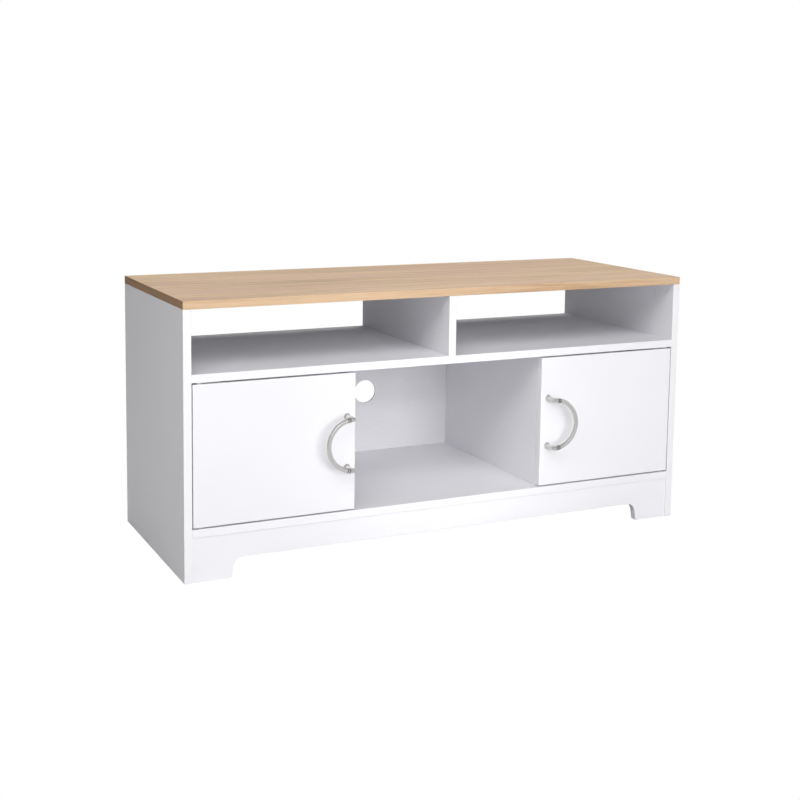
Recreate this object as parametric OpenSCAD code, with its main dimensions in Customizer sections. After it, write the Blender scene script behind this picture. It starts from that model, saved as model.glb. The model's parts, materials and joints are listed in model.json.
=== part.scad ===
// Flat-pack TV stand: two open bays under the top board, an open middle bay and two cupboards with
// hinged doors below them, on a shaped front apron.
// Millimetres, +X to the right, +Y to the back, +Z up. The origin is on the floor, at the middle of
// the length and midway between the handles' front and the stand's back edge.

/* [Body] */
// Length over the side panels
body_w = 1060; // [880:1:1300]
// Depth of the boards, without the handles
body_d = 400; // [330:1:500]
// Height from the floor to the top face
body_h = 506; // [430:1:620]
// Thickness of every board
board_t = 15; // [14.5:0.5:19]
// Clear height of the two open bays under the top board
top_bay_h = 115; // [90:1:140]
// Clear height under the base shelf
base_h = 82; // [70:1:110]
// Clear width of the open middle bay
middle_bay_w = 403; // [300:1:480]

/* [Apron and rear rail] */
// Height of the apron's opening above the floor
apron_rise = 36.5; // [20:0.5:50]
// How far the apron stands back from the front edges
apron_setback = 2; // [0.5:0.5:10]
// Width of each apron foot at the floor
foot_w = 73; // [55:1:120]
// How much wider a foot is at the start of its hollow curve
foot_flare = 3; // [0:0.5:6]
// Radius of the hollow curve above each foot
foot_curve_r = 20; // [8:1:24]
// Height of the rail under the back of the base shelf
rail_h = 45; // [30:1:60]

/* [Back panel] */
// Thickness of the back panel
back_t = 3; // [2.5:0.5:6]
// How far the back panel lies inside the rear edges
back_setback = 1; // [1:0.5:6]
// Radius of the cable hole
cable_hole_r = 25; // [15:1:40]
// Height of the cable hole's middle above the floor
cable_hole_z = 230; // [190:1:270]
// Length of the back panel's nails
nail_l = 20; // [12:1:30]

/* [Doors] */
// Gap above and below a door, which holds the hinge plates
door_gap = 3; // [3:0.5:5]
// Gap between a door and its side panel
door_side_gap = 2; // [1.5:0.5:4]
// Gap between a door's back and the divider that it covers
door_back_gap = 1.5; // [1.5:0.5:4]

/* [Handles] */
// Distance between the two screw posts of a handle
handle_pitch = 96; // [64:16:128]
// Distance from a door's front face to the middle of the arch
handle_standoff = 28; // [22:0.5:36]
// Distance from the door's free edge to the posts' middle
handle_inset = 16.5; // [12:0.5:40]
// Width of the arch's oval section, along the door
arch_w = 9; // [8:0.5:12]
// Depth of the arch's oval section, away from the door
arch_d = 7; // [5:0.5:8]
// Radius of a handle post
post_r = 4.75; // [4.5:0.25:6]

/* [Pivot hinges] */
// Distance from a door's hinged edge to the pivot's middle
pivot_in = 12.5; // [12.5:0.5:16]
// Distance from a door's front face to the pivot's middle
pivot_back = 6; // [5:0.25:6]
// Radius of the pivot pin
pivot_r = 2; // [1.5:0.25:2.5]
// Radial clearance of the pin in the door's plate
pivot_clearance = 0.05; // [0.02:0.01:0.08]
// How far the pin reaches into the door's edge
pivot_reach = 7; // [4:0.5:12]
// Thickness of a hinge plate
plate_t = 1; // [0.8:0.1:1.2]
// Length of a hinge plate
plate_l = 40; // [36:1:60]
// Width of a hinge plate
plate_w = 10.6; // [8:0.2:11]

/* [Fixings] */
// Distance from a board's front or rear edge to its cam fitting
fix_inset = 60; // [45:1:90]
// Distance from a cam fitting to the dowel beside it
dowel_step = 32; // [24:1:48]
// Radius of a cam lock
cam_r = 7.3; // [6:0.1:8]
// Depth of a cam lock
cam_depth = 12.3; // [11:0.1:13]
// Distance from a joint to the middle of its cam lock
cam_reach = 24; // [20:1:34]
// Radius of a dowel
dowel_r = 4; // [3:0.5:5]
// How far a dowel goes into the face of a board
dowel_in_face = 10; // [7:0.5:11]
// How far a dowel goes into the edge of a board
dowel_in_edge = 20; // [14:0.5:26]
// Length of the screws that hold the dividers from below
screw_l = 50; // [40:1:60]

/* [Hidden] */

$fn = 48;
cut = 1;            // how far a cut runs past the face that it opens
ease = 0.1;         // clearance of a fixing in its hole
sides = [-1, 1];    // -1 is the left or the lower one, 1 is the right or the upper one

// Where the boards lie. The handles stand out in front, so the boards' middle is behind the origin.
ring_r = post_r + 0.25;
handle_out = handle_standoff + ring_r;
front_y = -(body_d - handle_out) / 2;
rear_y = front_y + body_d;
in_x = body_w / 2 - board_t;
panel_mid_x = in_x + board_t / 2;
top_z = body_h - board_t;
shelf_top_z = top_z - top_bay_h;
shelf_z = shelf_top_z - board_t;
floor_top_z = base_h + board_t;
back_rear_y = rear_y - back_setback;
back_y = back_rear_y - back_t;
board_rear_y = back_y;
divider_mid_x = (middle_bay_w + board_t) / 2;
divider_front_y = front_y + board_t + door_back_gap;
apron_y = front_y + apron_setback;
rail_y = board_rear_y - board_t;

// Doors
door_free_x = middle_bay_w / 2;
door_hinged_x = in_x - door_side_gap;
door_z = floor_top_z + door_gap;
door_top_z = shelf_z - door_gap;
door_mid_z = (door_z + door_top_z) / 2;
door_back_y = front_y + board_t;
handle_x = door_free_x + handle_inset;

// Pivot hinges
pivot_x = door_hinged_x - pivot_in;
pivot_y = front_y + pivot_back;
plate_end = plate_w / 2;
washer_t = door_gap - 2 * plate_t - 2 * ease;
plate_screw_x = [12, 28];
plate_screw_r = 1.5;
plate_screw_head_r = 2.7;
plate_screw_head_t = 1.2;
plate_screw_l = 14;

// Magnetic catches and the plates that they hold
catch_l = 40;
catch_d = 14;
catch_h = 16;
catch_mid_z = shelf_z - 10;
catch_x = door_free_x + board_t + catch_l / 2 + 12;
magnet_l = 22;
magnet_h = 6;
magnet_proud = 0.5;
pole_gap = 2.4;
strike_t = 1.5;
strike_l = magnet_l + 6;
strike_gap = 0.3;
strike_h = 12;
catch_y = door_back_y + strike_t + strike_gap + magnet_proud;
catch_screw_step = 16;
catch_ear_t = 4;
catch_wall = 2;
catch_screw_l = 18;

bumper_r = 4;
bumper_t = 1.2;
bumper_inset = 20;

// Fixings
cam_bolt_thread_r = 2.4;
cam_bolt_thread_l = 10.5;
cam_bolt_shank_r = 2.1;
cam_bolt_head_r = 3.3;
cam_bolt_head_t = 3;
cam_bolt_collar_t = 1.2;
cam_bolt_hole_r = 4;
cap_r = 8.5;
cap_t = 0.8;
screw_head_r = 4.8;
screw_head_t = 2.6;
screw_shank_r = 3.4;
screw_thread_r = 3;
handle_screw_r = 1.9;
handle_screw_head_r = 3.8;
handle_screw_head_t = 2.2;
handle_screw_bite = 10;
nail_r = 0.6;
nail_head_r = 1.6;
nail_head_t = 0.7;
nail_step = 115;

front_fix_y = front_y + fix_inset;
rear_fix_y = rear_y - fix_inset;
fix_ys = [front_fix_y, rear_fix_y];
dowel_ys = [front_fix_y + dowel_step, rear_fix_y - dowel_step];
shelf_mid_zs = [base_h + board_t / 2, shelf_z + board_t / 2];
apron_fix_z = (apron_rise + base_h) / 2;
rail_fix_z = base_h - rail_h / 2;
under_dowel_xs = [in_x * 0.25, in_x * 0.7];

// A cam joint is [its point where the boards meet, the way into the board's edge, the way its lock faces].
top_cam_joints = [for (s = sides, y = fix_ys) [[s * panel_mid_x, y, top_z], [0, 0, -1], [-s, 0, 0]]];
upper_divider_cam_joints = [for (y = fix_ys) [[0, y, top_z], [0, 0, -1], [1, 0, 0]]];
shelf_cam_joints = [for (s = sides, y = fix_ys, z = shelf_mid_zs) [[s * in_x, y, z], [-s, 0, 0], [0, 0, -1]]];
lower_divider_cam_joints =
    [for (s = sides, y = fix_ys) [[s * divider_mid_x, y, shelf_z], [0, 0, -1], [s, 0, 0]]];
apron_cam_joints =
    [for (s = sides) [[s * in_x, apron_y + board_t / 2, apron_fix_z], [-s, 0, 0], [0, 1, 0]]];
rail_cam_joints =
    [for (s = sides) [[s * in_x, rail_y + board_t / 2, rail_fix_z], [-s, 0, 0], [0, -1, 0]]];
bay_cam_joints = concat(top_cam_joints, upper_divider_cam_joints);
cam_joints =
    concat(bay_cam_joints, shelf_cam_joints, lower_divider_cam_joints, apron_cam_joints, rail_cam_joints);

// A dowel joint is [its point where the boards meet, the way into the board's edge].
dowel_joints = concat(
    [for (s = sides, y = dowel_ys) [[s * panel_mid_x, y, top_z], [0, 0, -1]]],
    [for (y = dowel_ys) [[0, y, top_z], [0, 0, -1]]],
    [for (y = dowel_ys) [[0, y, shelf_top_z], [0, 0, 1]]],
    [for (s = sides, y = dowel_ys, z = shelf_mid_zs) [[s * in_x, y, z], [-s, 0, 0]]],
    [for (s = sides, y = dowel_ys) [[s * divider_mid_x, y, shelf_z], [0, 0, -1]]],
    [for (s = sides, y = dowel_ys) [[s * divider_mid_x, y, floor_top_z], [0, 0, 1]]],
    [for (s = sides, x = under_dowel_xs) [[s * x, apron_y + board_t / 2, base_h], [0, 0, -1]]],
    [for (s = sides, x = under_dowel_xs) [[s * x, rail_y + board_t / 2, base_h], [0, 0, -1]]]
);

// Where the long screws enter from below, all pointing up.
divider_screw_points = concat(
    [for (s = sides, y = fix_ys) [s * divider_mid_x, y, base_h]],
    [for (y = fix_ys) [0, y, shelf_z]]
);

// Nails of the back panel: along both shelves and up both dividers.
nail_count = floor((in_x - board_t) / nail_step);
nail_xs = [for (i = [-nail_count : nail_count]) i * nail_step];
nail_points = concat(
    [for (x = nail_xs, z = shelf_mid_zs) [x, z]],
    [for (s = sides, t = [1, 2]) [s * divider_mid_x, floor_top_z + t * (shelf_z - floor_top_z) / 3]]
);

catch_screw_points = [for (s = sides, t = sides) [s * catch_x + t * catch_screw_step, catch_y + catch_d / 2]];

// Turns a child so that its +Z runs along into and its +X along face, and sets it at a point.
module set_at(point, into, face) {
    side = cross(into, face);
    multmatrix([
        [face.x, side.x, into.x, point.x],
        [face.y, side.y, into.y, point.y],
        [face.z, side.z, into.z, point.z],
        [0, 0, 0, 1]
    ]) children();
}

function across(into) = abs(into.z) > 0.5 ? [1, 0, 0] : [0, 0, 1];

module board(low, high) {
    translate(low) cube(high - low);
}

// Cam bolt: threaded into the board's face below z = 0, its head inside the cam lock.
module cam_bolt() {
    translate([0, 0, -cam_bolt_thread_l]) cylinder(r = cam_bolt_thread_r, h = cam_bolt_thread_l);
    cylinder(r = cam_bolt_head_r, h = cam_bolt_collar_t);
    cylinder(r = cam_bolt_shank_r, h = cam_reach);
    translate([0, 0, cam_reach - cam_bolt_head_t]) cylinder(r = cam_bolt_head_r, h = cam_bolt_head_t);
}

// Cam lock: a drum with a cross slot in its face and a hollow for the bolt.
module cam_lock() {
    difference() {
        translate([board_t / 2 - cam_depth, 0, cam_reach]) rotate([0, 90, 0])
            cylinder(r = cam_r, h = cam_depth);
        cylinder(r = cam_bolt_hole_r, h = cam_reach + ease);
        for (turn = [45, 135]) translate([board_t / 2, 0, cam_reach]) rotate([turn, 0, 0])
            cube([4, 1.4, 9], center = true);
    }
}

module cam_face_hole() {
    translate([0, 0, -cam_bolt_thread_l - ease])
        cylinder(r = cam_bolt_thread_r + ease, h = cam_bolt_thread_l + cut);
}

module cam_edge_hole() {
    translate([0, 0, -cut]) cylinder(r = cam_bolt_hole_r, h = cam_reach + cut);
    translate([board_t / 2 - cam_depth - ease, 0, cam_reach]) rotate([0, 90, 0])
        cylinder(r = cam_r + ease, h = cam_depth + ease + cut);
}

module cam_face_holes(joints) {
    for (j = joints) set_at(j[0], j[1], j[2]) cam_face_hole();
}

module cam_edge_holes(joints) {
    for (j = joints) set_at(j[0], j[1], j[2]) cam_edge_hole();
}

module dowel(gap = 0) {
    translate([0, 0, -dowel_in_face - gap])
        cylinder(r = dowel_r + gap, h = dowel_in_face + dowel_in_edge + 2 * gap);
}

module dowel_holes() {
    for (j = dowel_joints) set_at(j[0], j[1], across(j[1])) dowel(gap = ease);
}

// Countersunk screw: its head's face at z = 0, its point up.
module screw(l, r, head_r, head_t, gap = 0) {
    cylinder(r1 = head_r + gap, r2 = r + gap, h = head_t);
    cylinder(r = r + gap, h = l + gap);
    if (gap > 0) translate([0, 0, -cut]) cylinder(r = head_r + gap, h = cut);
}

module divider_screw(gap = 0) {
    screw(board_t - ease, screw_shank_r, screw_head_r, screw_head_t, gap);
    cylinder(r = screw_thread_r + gap, h = screw_l + gap);
}

module divider_screw_holes() {
    for (p = divider_screw_points) translate(p) divider_screw(gap = ease);
}

module nail() {
    rotate([90, 0, 0]) cylinder(r = nail_r, h = nail_l);
    rotate([-90, 0, 0]) cylinder(r = nail_head_r, h = nail_head_t);
}

module nail_holes() {
    for (p = nail_points) translate([p.x, back_rear_y + cut, p[1]]) rotate([90, 0, 0])
        cylinder(r = nail_r + ease, h = nail_l + ease + cut);
}

// Places a child at one pivot: s is the side, e the lower or upper end. Its +Z runs into the shelf.
module at_case_plate(s, e) {
    translate([s * pivot_x, pivot_y, e > 0 ? shelf_z : floor_top_z]) mirror([s > 0 ? 1 : 0, 0, 0])
        mirror([0, 0, e > 0 ? 0 : 1]) children();
}

// The same at the door's edge, with +Z running out of the door.
module at_door_plate(s, e) {
    translate([s * pivot_x, pivot_y, e > 0 ? door_top_z : door_z]) mirror([s > 0 ? 1 : 0, 0, 0])
        mirror([0, 0, e > 0 ? 0 : 1]) children();
}

// Outline of a hinge plate with a round end about the pivot, its length towards the stand's middle.
module plate_blank() {
    cylinder(r = plate_end, h = plate_t);
    translate([0, -plate_end, 0]) cube([plate_l - plate_end, plate_w, plate_t]);
}

module case_screw(gap = 0) {
    for (x = plate_screw_x) translate([x, 0, -plate_t])
        screw(plate_screw_l, plate_screw_r, plate_screw_head_r, plate_screw_head_t, gap);
}

module door_screw(gap = 0) {
    for (x = plate_screw_x) translate([x, 0, plate_t]) mirror([0, 0, 1])
        screw(plate_screw_l, plate_screw_r, plate_screw_head_r, plate_screw_head_t, gap);
}

module case_screw_holes() {
    for (s = sides, e = sides) at_case_plate(s, e) case_screw(gap = ease);
}

module catch_screw(gap = 0) {
    screw(catch_screw_l, 1.6, 3, 1.6, gap);
}

module catch_screw_holes() {
    for (p = catch_screw_points) translate([p.x, p.y, shelf_z - catch_ear_t]) catch_screw(gap = ease);
}

module top_board() {
    color([0.84, 0.74, 0.62]) difference() {
        board([-body_w / 2, front_y, top_z], [body_w / 2, rear_y, body_h]);
        cam_face_holes(bay_cam_joints);
        dowel_holes();
    }
}

module side_panel(s) {
    color([0.95, 0.95, 0.97]) difference() {
        board([min(s * in_x, s * body_w / 2), front_y, 0], [max(s * in_x, s * body_w / 2), rear_y, top_z]);
        cam_edge_holes(top_cam_joints);
        cam_face_holes(concat(shelf_cam_joints, apron_cam_joints, rail_cam_joints));
        dowel_holes();
    }
}

module side_panel_left() {
    side_panel(-1);
}

module side_panel_right() {
    side_panel(1);
}

module upper_shelf() {
    color([0.94, 0.94, 0.96]) difference() {
        board([-in_x, front_y, shelf_z], [in_x, board_rear_y, shelf_top_z]);
        cam_edge_holes(shelf_cam_joints);
        cam_face_holes(lower_divider_cam_joints);
        dowel_holes();
        divider_screw_holes();
        nail_holes();
        case_screw_holes();
        catch_screw_holes();
    }
}

module upper_divider() {
    color([0.93, 0.93, 0.95]) difference() {
        board([-board_t / 2, front_y, shelf_top_z], [board_t / 2, board_rear_y, top_z]);
        cam_edge_holes(upper_divider_cam_joints);
        dowel_holes();
        divider_screw_holes();
    }
}

module lower_divider(s) {
    color([0.94, 0.94, 0.96]) difference() {
        translate([s * divider_mid_x - board_t / 2, divider_front_y, floor_top_z])
            cube([board_t, board_rear_y - divider_front_y, shelf_z - floor_top_z]);
        cam_edge_holes(lower_divider_cam_joints);
        dowel_holes();
        divider_screw_holes();
        nail_holes();
    }
}

module lower_divider_left() {
    lower_divider(-1);
}

module lower_divider_right() {
    lower_divider(1);
}

module base_shelf() {
    color([0.94, 0.94, 0.96]) difference() {
        board([-in_x, front_y, base_h], [in_x, board_rear_y, floor_top_z]);
        cam_edge_holes(shelf_cam_joints);
        dowel_holes();
        divider_screw_holes();
        nail_holes();
        case_screw_holes();
    }
}

// Half of the apron's opening: a sloping foot edge, a hollow quarter curve and the level underside.
module apron_cut_half() {
    foot_x = in_x - foot_w;
    curve_z = apron_rise - foot_curve_r;
    polygon([[-cut, -cut], [foot_x, -cut], [foot_x, 0], [foot_x - foot_flare, curve_z], [-cut, curve_z]]);
    translate([foot_x - foot_flare - foot_curve_r, curve_z]) circle(r = foot_curve_r, $fn = 96);
    translate([-cut, 0]) square([foot_x - foot_flare - foot_curve_r + cut, apron_rise]);
}

module front_apron() {
    color([0.95, 0.95, 0.97]) difference() {
        board([-in_x, apron_y, 0], [in_x, apron_y + board_t, base_h]);
        for (s = [0, 1]) mirror([s, 0, 0]) translate([0, apron_y + board_t + cut, 0]) rotate([90, 0, 0])
            linear_extrude(board_t + 2 * cut) apron_cut_half();
        cam_edge_holes(apron_cam_joints);
        dowel_holes();
    }
}

module rear_rail() {
    color([0.93, 0.93, 0.95]) difference() {
        board([-in_x, rail_y, base_h - rail_h], [in_x, board_rear_y, base_h]);
        cam_edge_holes(rail_cam_joints);
        dowel_holes();
    }
}

module back_panel() {
    slack = 0.5;
    color([0.96, 0.96, 0.97]) difference() {
        board([-in_x + slack, back_y, base_h], [in_x - slack, back_rear_y, shelf_top_z]);
        translate([0, back_rear_y + cut, cable_hole_z]) rotate([90, 0, 0])
            cylinder(r = cable_hole_r, h = back_t + 2 * cut, $fn = 96);
        nail_holes();
    }
}

module cam_bolts() {
    color([0.75, 0.75, 0.77]) for (j = cam_joints) set_at(j[0], j[1], j[2]) cam_bolt();
}

module cam_locks() {
    color([0.7, 0.7, 0.72]) for (j = cam_joints) set_at(j[0], j[1], j[2]) cam_lock();
}

// Thin caps over the cam locks that show in the open bays.
module cam_caps() {
    color([0.96, 0.96, 0.98]) for (j = bay_cam_joints) set_at(j[0], j[1], j[2])
        translate([board_t / 2, 0, cam_reach]) rotate([0, 90, 0]) cylinder(r = cap_r, h = cap_t);
}

module dowels() {
    color([0.8, 0.68, 0.5]) for (j = dowel_joints) set_at(j[0], j[1], across(j[1])) dowel();
}

module divider_screws() {
    color([0.7, 0.7, 0.7]) for (p = divider_screw_points) translate(p) divider_screw();
}

module back_panel_nails() {
    color([0.7, 0.7, 0.7]) for (p = nail_points) translate([p.x, back_rear_y, p[1]]) nail();
}

// Case plates with their pivot pins, on the base shelf and under the upper shelf.
module hinge_case_plates() {
    pin_l = door_gap + pivot_reach;
    color([0.72, 0.72, 0.74]) for (s = sides, e = sides) at_case_plate(s, e) difference() {
        union() {
            translate([0, 0, -plate_t]) plate_blank();
            translate([0, 0, -pin_l]) cylinder(r = pivot_r, h = pin_l - plate_t / 2);
        }
        case_screw(gap = ease);
    }
}

module hinge_case_screws() {
    color([0.7, 0.7, 0.7]) for (s = sides, e = sides) at_case_plate(s, e) case_screw();
}

// Nylon washers between the plates.
module hinge_washers() {
    color([0.9, 0.9, 0.88]) for (s = sides, e = sides) at_case_plate(s, e)
        translate([0, 0, -plate_t - ease - washer_t]) difference() {
            cylinder(r = plate_end - 0.3, h = washer_t);
            translate([0, 0, -cut]) cylinder(r = pivot_r + ease, h = washer_t + 2 * cut);
        }
}

// Catch housing: a block around the magnet with a screw ear at each end, under the upper shelf.
module catch_housings() {
    block_l = magnet_l + 2 * catch_wall;
    color([0.95, 0.95, 0.95]) for (s = sides) difference() {
        union() {
            translate([s * catch_x - catch_l / 2, catch_y, shelf_z - catch_ear_t])
                cube([catch_l, catch_d, catch_ear_t]);
            translate([s * catch_x - block_l / 2, catch_y, shelf_z - catch_h])
                cube([block_l, catch_d, catch_h]);
        }
        translate([s * catch_x - magnet_l / 2 - ease, catch_y - cut, catch_mid_z - magnet_h / 2 - ease])
            cube([magnet_l + 2 * ease, catch_d - catch_wall + cut, magnet_h + 2 * ease]);
        catch_screw_holes();
    }
}

// Each magnet lies between two steel pole plates, joined as one block.
module catch_magnets() {
    color([0.35, 0.35, 0.37]) for (s = sides) difference() {
        translate([s * catch_x - magnet_l / 2, catch_y - magnet_proud, catch_mid_z - magnet_h / 2])
            cube([magnet_l, catch_d - catch_wall - ease + magnet_proud, magnet_h]);
        translate([s * catch_x - magnet_l / 2 - cut, catch_y - magnet_proud - cut, catch_mid_z])
            translate([0, 0, -pole_gap / 2]) cube([magnet_l + 2 * cut, magnet_proud + cut, pole_gap]);
    }
}

module catch_screws() {
    color([0.7, 0.7, 0.7]) for (p = catch_screw_points) translate([p.x, p.y, shelf_z - catch_ear_t])
        catch_screw();
}

// Cross section of the handle's arch: an oval with round ends, centred.
module arch_section() {
    for (s = sides) translate([s * (arch_w - arch_d) / 2, 0]) circle(d = arch_d);
    square([arch_w - arch_d, arch_d], center = true);
}

// Moves a child to a door's handle: its +X points away from the free edge, its z = 0 is the middle.
module at_handle(s) {
    translate([s * handle_x, front_y, door_mid_z]) mirror([s > 0 ? 0 : 1, 0, 0]) children();
}

module handle(s) {
    arch_r = handle_pitch / 2;
    ring_turns = [7, 12];
    color([0.78, 0.78, 0.79]) difference() {
        at_handle(s) union() {
            translate([0, -handle_standoff, 0]) rotate([-90, 0, 0]) rotate([0, 0, -90])
                rotate_extrude(angle = 180, $fn = 128) translate([arch_r, 0]) arch_section();
            for (e = sides) translate([0, 0, e * arch_r]) {
                rotate([90, 0, 0]) cylinder(r = post_r, h = handle_standoff);
                rotate([90, 0, 0]) cylinder(r = post_r + 1.75, h = 2.4);
                translate([0, -handle_standoff, 0]) sphere(r = post_r);
            }
            for (e = sides, turn = ring_turns) translate([0, -handle_standoff, 0]) rotate([0, e * turn, 0])
                translate([0, 0, e * arch_r]) rotate([0, 90, 0])
                    cylinder(r = ring_r, h = 1.6, center = true);
        }
        handle_screw_holes(s);
    }
}

module handle_screw(gap = 0) {
    screw(board_t + handle_screw_bite, handle_screw_r, handle_screw_head_r, handle_screw_head_t, gap);
}

module at_handle_screws(s) {
    for (e = sides) translate([s * handle_x, door_back_y, door_mid_z + e * handle_pitch / 2])
        rotate([90, 0, 0]) children();
}

module handle_screw_holes(s) {
    at_handle_screws(s) handle_screw(gap = ease);
}

module handle_left() {
    handle(-1);
}

module handle_right() {
    handle(1);
}

module handle_screws_left() {
    color([0.7, 0.7, 0.7]) at_handle_screws(-1) handle_screw();
}

module handle_screws_right() {
    color([0.7, 0.7, 0.7]) at_handle_screws(1) handle_screw();
}

module at_strike(s) {
    translate([s * catch_x, door_back_y, catch_mid_z]) children();
}

module strike_screw(gap = 0) {
    translate([0, strike_t, 0]) rotate([90, 0, 0]) screw(11, 1.5, 2.8, 1.3, gap);
}

module door(s) {
    color([0.97, 0.97, 0.99]) difference() {
        translate([min(s * door_free_x, s * door_hinged_x), front_y, door_z])
            cube([door_hinged_x - door_free_x, board_t, door_top_z - door_z]);
        for (e = sides) at_door_plate(s, e) {
            translate([0, 0, -pivot_reach - 1]) cylinder(r = pivot_r + 1, h = pivot_reach + 1 + cut);
            door_screw(gap = ease);
        }
        handle_screw_holes(s);
        at_strike(s) strike_screw(gap = ease);
    }
}

module door_left() {
    door(-1);
}

module door_right() {
    door(1);
}

module hinge_door_plates(s) {
    color([0.72, 0.72, 0.74]) for (e = sides) at_door_plate(s, e) difference() {
        plate_blank();
        translate([0, 0, -cut]) cylinder(r = pivot_r + pivot_clearance, h = plate_t + 2 * cut);
        door_screw(gap = ease);
    }
}

module hinge_door_plates_left() {
    hinge_door_plates(-1);
}

module hinge_door_plates_right() {
    hinge_door_plates(1);
}

module hinge_door_screws(s) {
    color([0.7, 0.7, 0.7]) for (e = sides) at_door_plate(s, e) door_screw();
}

module hinge_door_screws_left() {
    hinge_door_screws(-1);
}

module hinge_door_screws_right() {
    hinge_door_screws(1);
}

module strike_plate(s) {
    color([0.74, 0.74, 0.76]) at_strike(s) difference() {
        translate([-strike_l / 2, 0, -strike_h / 2]) cube([strike_l, strike_t, strike_h]);
        strike_screw(gap = ease);
    }
}

module strike_plate_left() {
    strike_plate(-1);
}

module strike_plate_right() {
    strike_plate(1);
}

module strike_screw_left() {
    color([0.7, 0.7, 0.7]) at_strike(-1) strike_screw();
}

module strike_screw_right() {
    color([0.7, 0.7, 0.7]) at_strike(1) strike_screw();
}

module door_bumpers(s) {
    color([0.85, 0.87, 0.88]) for (z = [door_z + bumper_inset, door_top_z - bumper_inset])
        translate([s * divider_mid_x, door_back_y, z]) rotate([-90, 0, 0]) {
            cylinder(r = bumper_r, h = bumper_t - 0.4);
            translate([0, 0, bumper_t - 0.4]) cylinder(r1 = bumper_r, r2 = bumper_r - 0.6, h = 0.4);
        }
}

module door_bumpers_left() {
    door_bumpers(-1);
}

module door_bumpers_right() {
    door_bumpers(1);
}

top_board();
side_panel_left();
side_panel_right();
upper_shelf();
upper_divider();
lower_divider_left();
lower_divider_right();
base_shelf();
front_apron();
rear_rail();
back_panel();
cam_bolts();
cam_locks();
cam_caps();
dowels();
divider_screws();
back_panel_nails();
hinge_case_plates();
hinge_case_screws();
hinge_washers();
catch_housings();
catch_magnets();
catch_screws();
door_left();
hinge_door_plates_left();
hinge_door_screws_left();
handle_left();
handle_screws_left();
strike_plate_left();
strike_screw_left();
door_bumpers_left();
door_right();
hinge_door_plates_right();
hinge_door_screws_right();
handle_right();
handle_screws_right();
strike_plate_right();
strike_screw_right();
door_bumpers_right();
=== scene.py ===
"""Looks of a flat-pack TV stand: boards with edge strips, doors, arched handles and fittings.

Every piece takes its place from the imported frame, in metres, with +X to the right, +Y to the back and
+Z up. Boards, doors, handles, the back panel and the screws are new meshes that stand for their CAD
nodes. The smaller fittings keep their CAD shapes and get finishes of their own.
"""

import json
import logging
import math
from dataclasses import dataclass
from enum import Enum
from functools import lru_cache
from typing import Iterable, Optional, Union

import bmesh
import bpy
from mathutils import Matrix, Vector


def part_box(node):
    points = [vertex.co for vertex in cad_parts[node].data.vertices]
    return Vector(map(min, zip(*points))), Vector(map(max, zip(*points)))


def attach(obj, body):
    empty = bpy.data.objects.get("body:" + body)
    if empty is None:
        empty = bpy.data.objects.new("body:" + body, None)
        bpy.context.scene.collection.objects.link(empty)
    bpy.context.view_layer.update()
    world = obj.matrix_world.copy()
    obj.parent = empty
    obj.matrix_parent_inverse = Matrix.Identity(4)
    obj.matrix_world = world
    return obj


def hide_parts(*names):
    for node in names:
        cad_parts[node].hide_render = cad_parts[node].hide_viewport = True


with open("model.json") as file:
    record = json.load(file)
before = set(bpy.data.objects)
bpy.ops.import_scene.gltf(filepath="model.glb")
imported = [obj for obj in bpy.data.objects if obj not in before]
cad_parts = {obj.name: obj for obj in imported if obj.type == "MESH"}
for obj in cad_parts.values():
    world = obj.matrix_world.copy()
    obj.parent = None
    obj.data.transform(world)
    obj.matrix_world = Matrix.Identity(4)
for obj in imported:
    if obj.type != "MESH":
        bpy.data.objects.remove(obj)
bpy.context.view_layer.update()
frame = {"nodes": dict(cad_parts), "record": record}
MM = 0.001
SQUARE_ON = 0.9995  # a normal's largest part, where a face looks straight along an axis
FACING = 0.9  # the same, where a face looks mostly one way
LOG = logging.getLogger("tv_stand")

Colour = tuple[float, float, float]
Point = tuple[float, float, float]
Operand = Union["Value", float]


class Axis(Enum):
    """A direction of the stand, with its place in a vector."""

    X = 0
    Y = 1
    Z = 2


class Side(Enum):
    """One half of the stand, with the sign of its X."""

    LEFT = -1
    RIGHT = 1

    @property
    def word(self) -> str:
        """The side's name as the frame's nodes write it."""
        return self.name.lower()


# ---------------------------------------------------------------------------------------------------
# Shader maths
# ---------------------------------------------------------------------------------------------------


class Value:
    """A shader output that takes part in ordinary arithmetic."""

    def __init__(self, bench: "Bench", socket: bpy.types.NodeSocket) -> None:
        """Wraps an output of a node on a bench."""
        self.bench = bench
        self.socket = socket

    def _maths(self, operation: str, first: Operand, second: Operand) -> "Value":
        """Adds one Math node for an operation and its two operands."""
        return self.bench.value("ShaderNodeMath", {"operation": operation}, {0: first, 1: second})

    def __add__(self, other: Operand) -> "Value":
        """Sum."""
        return self._maths("ADD", self, other)

    def __radd__(self, other: float) -> "Value":
        """Sum with a number on the left."""
        return self._maths("ADD", other, self)

    def __sub__(self, other: Operand) -> "Value":
        """Difference."""
        return self._maths("SUBTRACT", self, other)

    def __rsub__(self, other: float) -> "Value":
        """Difference from a number on the left."""
        return self._maths("SUBTRACT", other, self)

    def __mul__(self, other: Operand) -> "Value":
        """Product."""
        return self._maths("MULTIPLY", self, other)

    def __rmul__(self, other: float) -> "Value":
        """Product with a number on the left."""
        return self._maths("MULTIPLY", other, self)


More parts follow.
